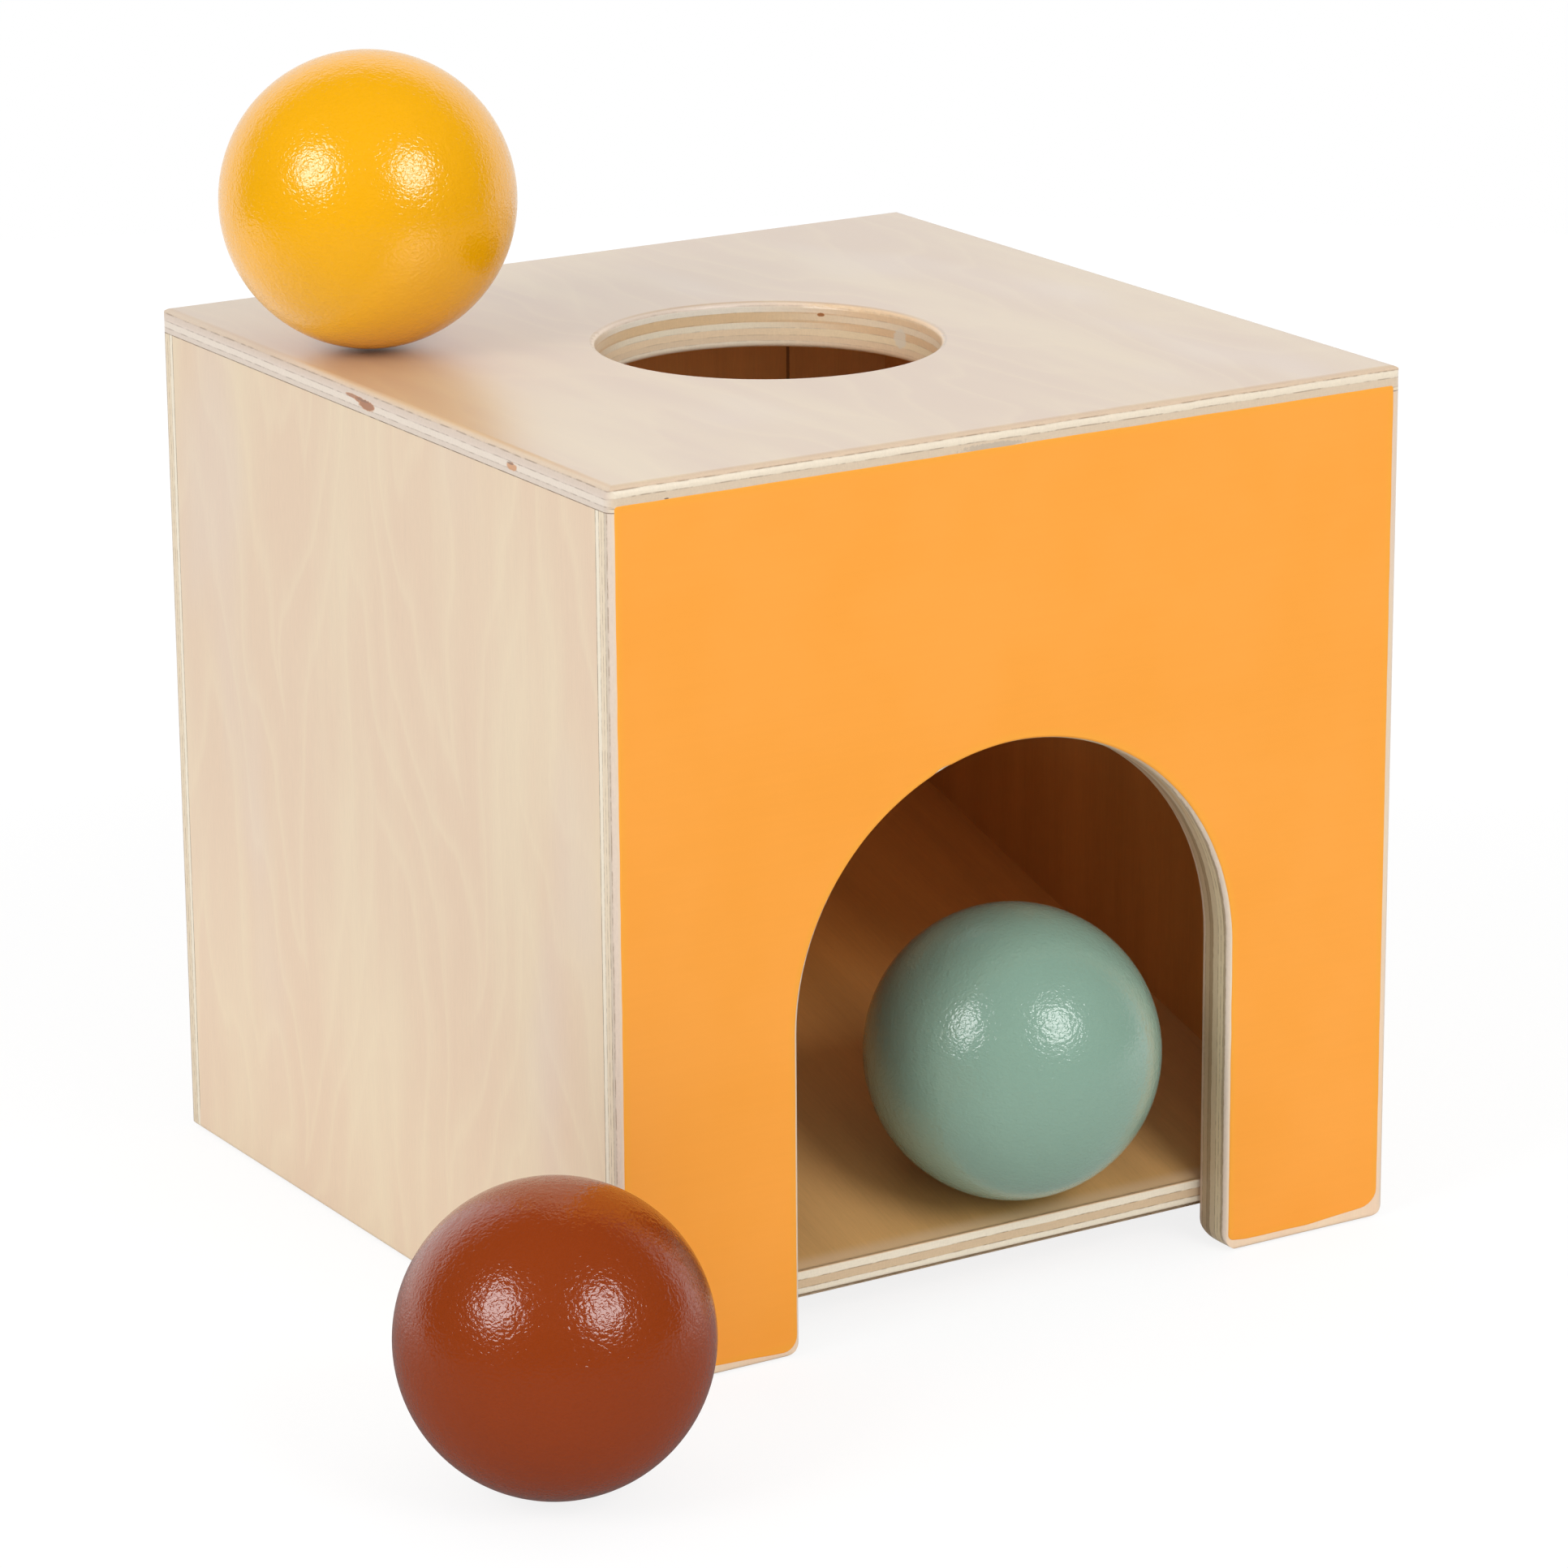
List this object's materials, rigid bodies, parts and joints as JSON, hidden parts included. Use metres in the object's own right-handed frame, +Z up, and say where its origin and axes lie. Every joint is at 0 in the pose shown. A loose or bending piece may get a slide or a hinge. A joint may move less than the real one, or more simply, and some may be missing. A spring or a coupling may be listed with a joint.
{
  "type": "object permanence box",
  "caption": "Plywood ball-drop toy: a box with a round hole in its top, a sloping ramp inside, an arched mouth in its painted front, and loose painted balls.",
  "frame": {"origin": "on the ground, in the middle of the ground plan of the box together with its balls", "axes": "+Z up; -Y out of the arched front; +X to the right of someone who faces the front"},
  "size_m": [0.1878, 0.1892, 0.1843],
  "materials": {
    "plywood": "sanded birch-type plywood with a thin matt clear coat, edge plies bare",
    "orange_plywood": "plywood with a smooth matt orange coat on its outer face, edges bare",
    "mustard_ball": "solid wood under satin mustard-yellow paint with a fine orange-peel texture",
    "sage_ball": "solid wood under satin sage-green paint with a fine orange-peel texture",
    "rust_ball": "solid wood under satin red-brown paint with a fine orange-peel texture"
  },
  "bodies": {
    "box": {"top_panel": "plywood", "front_panel": "orange_plywood", "back_panel": "plywood", "left_panel": "plywood", "right_panel": "plywood", "ramp_panel": "plywood"},
    "yellow": {"yellow_ball": "mustard_ball"},
    "green": {"green_ball": "sage_ball"},
    "brown": {"brown_ball": "rust_ball"}
  },
  "joints": [
    {"name": "yellow_lift", "type": "slide", "parent": "box", "child": "yellow", "axis": [0, 0, 1], "range_m": [0, 0.1]},
    {"name": "green_roll", "type": "slide", "parent": "box", "child": "green", "axis": [0, -0.9603, -0.279], "range_m": [-0.101, 0.0445]},
    {"name": "brown_lift", "type": "slide", "parent": "box", "child": "brown", "axis": [0, 0, 1], "range_m": [0, 0.15]}
  ]
}
